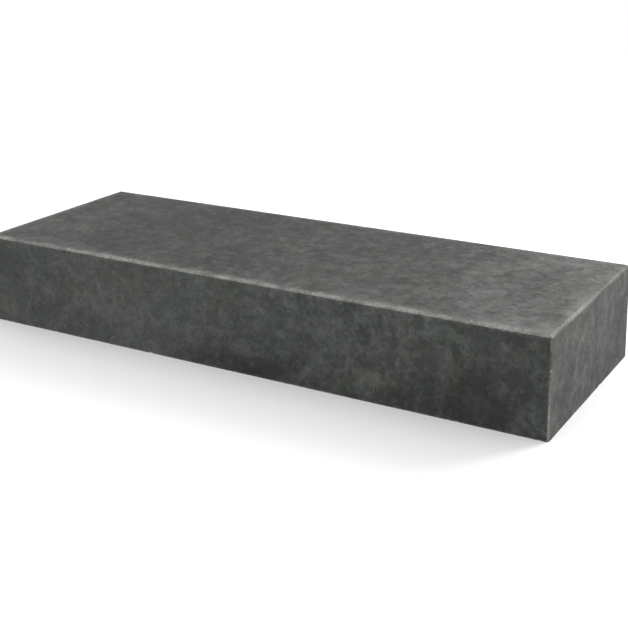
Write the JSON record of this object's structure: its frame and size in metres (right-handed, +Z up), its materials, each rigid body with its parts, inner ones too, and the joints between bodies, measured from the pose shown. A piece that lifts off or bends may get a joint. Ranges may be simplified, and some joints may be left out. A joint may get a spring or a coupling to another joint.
{
  "type": "concrete step",
  "caption": "Solid precast concrete block step: a long low rectangular block with bevelled arrises round the tread, lying on its flat underside.",
  "frame": {"origin": "middle of the underside, on the surface the step lies on", "axes": "+X along the step's length, +Y from the riser face to the back face, +Z up through the tread"},
  "size_m": [1, 0.35, 0.15],
  "materials": {
    "concrete": "fair-faced cast concrete, matt, with small air holes and rubbed arrises"
  },
  "bodies": {
    "root": {"step_block": "concrete"}
  },
  "joints": []
}
